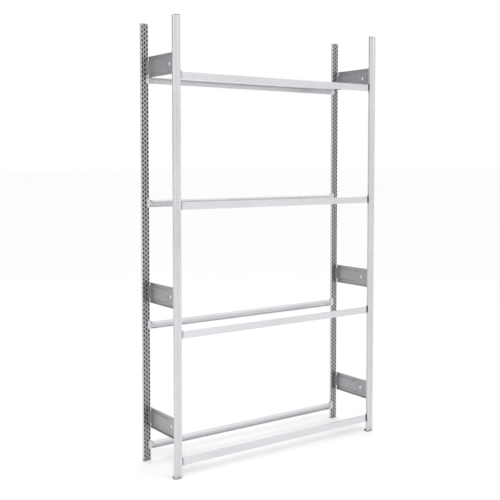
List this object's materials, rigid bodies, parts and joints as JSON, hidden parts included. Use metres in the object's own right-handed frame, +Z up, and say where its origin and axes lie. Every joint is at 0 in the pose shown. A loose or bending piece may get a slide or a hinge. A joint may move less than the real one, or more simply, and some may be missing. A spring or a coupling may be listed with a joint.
{
  "type": "tyre storage rack",
  "caption": "Free-standing tyre storage rack: two perforated end frames tied by side panels, joined by hook-in pairs of channel beams that carry standing tyres.",
  "frame": {"origin": "on the floor, at the middle of the four feet", "axes": "+Z up; -Y is the front of the rack; +X to the right seen from the front"},
  "size_m": [1.468, 0.37, 2.5045],
  "materials": {
    "post_steel": "galvanised sheet, satin",
    "beam_steel": "galvanised sheet, satin",
    "panel_steel": "bare zinc-coated sheet, semi-bright",
    "bracket_steel": "zinc-coated, satin",
    "dark_plastic": "moulded, matte"
  },
  "bodies": {
    "frame": {"left_front_post": "post_steel", "left_rear_post": "post_steel", "right_front_post": "post_steel", "right_rear_post": "post_steel", "left_front_foot": "dark_plastic", "left_rear_foot": "dark_plastic", "right_front_foot": "dark_plastic", "right_rear_foot": "dark_plastic", "left_front_cap": "dark_plastic", "right_front_cap": "dark_plastic", "left_lower_panel": "panel_steel", "left_middle_panel": "panel_steel", "left_upper_panel": "panel_steel", "right_lower_panel": "panel_steel", "right_middle_panel": "panel_steel", "right_upper_panel": "panel_steel"},
    "front_beam_1": {"front_beam_1": "beam_steel", "front_beam_1_left_bracket": "bracket_steel", "front_beam_1_right_bracket": "bracket_steel"},
    "front_beam_2": {"front_beam_2": "beam_steel", "front_beam_2_left_bracket": "bracket_steel", "front_beam_2_right_bracket": "bracket_steel"},
    "front_beam_3": {"front_beam_3": "beam_steel", "front_beam_3_left_bracket": "bracket_steel", "front_beam_3_right_bracket": "bracket_steel"},
    "front_beam_4": {"front_beam_4": "beam_steel", "front_beam_4_left_bracket": "bracket_steel", "front_beam_4_right_bracket": "bracket_steel"},
    "rear_beam_1": {"rear_beam_1": "beam_steel", "rear_beam_1_left_bracket": "bracket_steel", "rear_beam_1_right_bracket": "bracket_steel"},
    "rear_beam_2": {"rear_beam_2": "beam_steel", "rear_beam_2_left_bracket": "bracket_steel", "rear_beam_2_right_bracket": "bracket_steel"},
    "rear_beam_3": {"rear_beam_3": "beam_steel", "rear_beam_3_left_bracket": "bracket_steel", "rear_beam_3_right_bracket": "bracket_steel"},
    "rear_beam_4": {"rear_beam_4": "beam_steel", "rear_beam_4_left_bracket": "bracket_steel", "rear_beam_4_right_bracket": "bracket_steel"}
  },
  "joints": [
    {"name": "front_beam_1_lift", "type": "slide", "parent": "frame", "child": "front_beam_1", "axis": [0, 0, 1], "range_m": [0, 0.007]},
    {"name": "front_beam_2_lift", "type": "slide", "parent": "frame", "child": "front_beam_2", "axis": [0, 0, 1], "range_m": [0, 0.007]},
    {"name": "front_beam_3_lift", "type": "slide", "parent": "frame", "child": "front_beam_3", "axis": [0, 0, 1], "range_m": [0, 0.007]},
    {"name": "front_beam_4_lift", "type": "slide", "parent": "frame", "child": "front_beam_4", "axis": [0, 0, 1], "range_m": [0, 0.007]},
    {"name": "rear_beam_1_lift", "type": "slide", "parent": "frame", "child": "rear_beam_1", "axis": [0, 0, 1], "range_m": [0, 0.007]},
    {"name": "rear_beam_2_lift", "type": "slide", "parent": "frame", "child": "rear_beam_2", "axis": [0, 0, 1], "range_m": [0, 0.007]},
    {"name": "rear_beam_3_lift", "type": "slide", "parent": "frame", "child": "rear_beam_3", "axis": [0, 0, 1], "range_m": [0, 0.007]},
    {"name": "rear_beam_4_lift", "type": "slide", "parent": "frame", "child": "rear_beam_4", "axis": [0, 0, 1], "range_m": [0, 0.007]}
  ]
}
